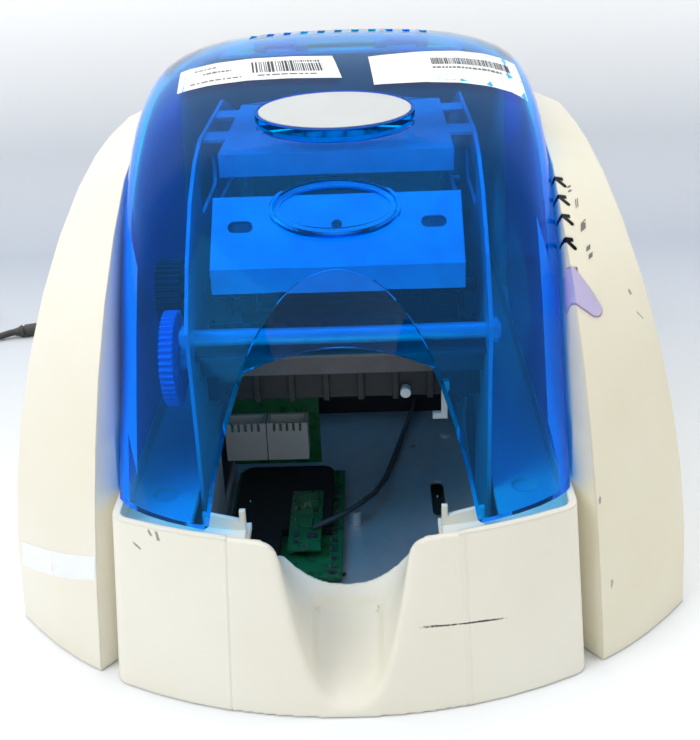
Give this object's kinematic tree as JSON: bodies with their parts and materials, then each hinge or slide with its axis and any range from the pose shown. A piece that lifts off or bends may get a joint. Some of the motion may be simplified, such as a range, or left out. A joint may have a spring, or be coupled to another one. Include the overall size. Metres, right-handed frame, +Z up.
{
  "type": "id card printer",
  "caption": "Desktop plastic card printer with clear domed lid on a hinge, cream wings, open card bin, sheet metal chassis, rollers, gears and a coiled data lead",
  "frame": {"origin": "bottom centre of the printer on the table", "axes": "X right, Y to the rear, Z up"},
  "size_m": [0.5238, 0.4691, 0.2184],
  "materials": {
    "cream": "moulded",
    "clear_blue": "clear",
    "steel": "sheet",
    "black_plastic": "moulded",
    "black_rubber": "moulded",
    "white_plastic": "moulded",
    "blue_plastic": "moulded",
    "lilac_plastic": "clear",
    "smoked_plastic": "clear",
    "silver_plate": "satin",
    "board": "lacquered",
    "foam": "foam"
  },
  "bodies": {
    "printer": {"base_shell": "cream", "left_wing": "cream", "right_wing": "cream", "rear_shell": "cream", "rear_panel": "cream", "bottom_plate": "steel", "feet": "black_rubber", "floor_plate": "steel", "left_side_plate": "steel", "right_side_plate": "steel", "front_rod": "steel", "cross_bar": "steel", "top_plate": "steel", "rear_divider": "black_plastic", "exit_guide": "black_plastic", "feeder_board": "board", "foam_pad": "foam", "sensor_board": "board", "sensor_cable": "black_rubber", "standoffs": "steel", "connector_board": "board", "connectors": "white_plastic", "sensor_bracket": "white_plastic", "head_pins": "steel", "wheel_stud": "steel", "drive_belt": "black_rubber", "motor": "steel", "main_board": "board", "shell_hinges": "cream", "hinge_pins": "steel", "indicator_lenses": "smoked_plastic", "power_inlet": "black_plastic", "lead_socket": "steel", "lead_plug": "black_plastic", "lead_run": "black_rubber", "lead_sleeve": "black_plastic", "lead_coil": "black_rubber", "far_plug": "black_plastic", "lead_tie": "black_rubber"},
    "cover": {"top_cover": "clear_blue", "cover_hinges": "clear_blue", "badge": "silver_plate"},
    "release": {"release_button": "clear_blue"},
    "control": {"control_button": "lilac_plastic"},
    "rocker": {"rocker_switch": "black_plastic"},
    "head": {"head_bracket": "steel", "print_head": "black_plastic"},
    "feed": {"feed_roller": "black_rubber"},
    "platen": {"platen_roller": "black_rubber"},
    "rear_feed": {"rear_roller": "black_rubber"},
    "pinch": {"pinch_roller": "black_rubber"},
    "cleaner": {"cleaning_roller": "black_rubber"},
    "wheel": {"ribbed_wheel": "blue_plastic"},
    "spool": {"spool_spindle": "black_plastic"},
    "supply": {"supply_spindle": "black_plastic"},
    "drive": {"motor_pulley": "black_plastic"}
  },
  "joints": [
    {"name": "cover_hinge", "type": "hinge", "parent": "printer", "child": "cover", "pos_m": [0, 0.062, 0.20757], "axis": [-1, 0, 0], "range_deg": [0, 70]},
    {"name": "release_press", "type": "slide", "parent": "cover", "child": "release", "axis": [0, 0.6198, -0.7848], "range_m": [0, 0.002], "stiffness_N_per_m": 400, "springref_m": -0.001},
    {"name": "control_press", "type": "slide", "parent": "printer", "child": "control", "axis": [0, 0.788, -0.6157], "range_m": [0, 0.001], "stiffness_N_per_m": 400, "springref_m": -0.001},
    {"name": "rocker_rock", "type": "hinge", "parent": "printer", "child": "rocker", "pos_m": [0.058, 0.1865, 0.044], "axis": [1, 0, 0], "range_deg": [0, 8]},
    {"name": "head_pivot", "type": "hinge", "parent": "printer", "child": "head", "pos_m": [0, 0.005, 0.15], "axis": [-1, 0, 0], "range_deg": [0, 1.4]},
    {"name": "feed_spin", "type": "hinge", "parent": "printer", "child": "feed", "pos_m": [0, -0.084, 0.1], "axis": [1, 0, 0], "continuous": true},
    {"name": "platen_spin", "type": "hinge", "parent": "printer", "child": "platen", "pos_m": [0, -0.055, 0.098], "axis": [1, 0, 0], "continuous": true},
    {"name": "rear_feed_spin", "type": "hinge", "parent": "printer", "child": "rear_feed", "pos_m": [0, -0.02, 0.1], "axis": [1, 0, 0], "continuous": true},
    {"name": "wheel_spin", "type": "hinge", "parent": "printer", "child": "wheel", "pos_m": [0, -0.10719, 0.11286], "axis": [1, 0, 0], "continuous": true},
    {"name": "spool_spin", "type": "hinge", "parent": "printer", "child": "spool", "pos_m": [0, -0.08205, 0.13153], "axis": [1, 0, 0], "continuous": true},
    {"name": "motor_spin", "type": "hinge", "parent": "printer", "child": "drive", "pos_m": [0, 0.06, 0.072], "axis": [1, 0, 0], "continuous": true},
    {"name": "pinch_spin", "type": "hinge", "parent": "printer", "child": "pinch", "pos_m": [0, -0.084, 0.1142], "axis": [1, 0, 0], "continuous": true},
    {"name": "cleaner_spin", "type": "hinge", "parent": "printer", "child": "cleaner", "pos_m": [0, -0.02, 0.1142], "axis": [1, 0, 0], "continuous": true},
    {"name": "supply_spin", "type": "hinge", "parent": "printer", "child": "supply", "pos_m": [0, -0.006, 0.136], "axis": [1, 0, 0], "continuous": true}
  ],
  "couplings": [
    {"joint": "platen_spin", "follows": "feed_spin", "ratio": 0.78947},
    {"joint": "rear_feed_spin", "follows": "feed_spin", "ratio": 1},
    {"joint": "motor_spin", "follows": "feed_spin", "ratio": 1.2},
    {"joint": "wheel_spin", "follows": "feed_spin", "ratio": -0.43478},
    {"joint": "spool_spin", "follows": "feed_spin", "ratio": 0.625}
  ]
}
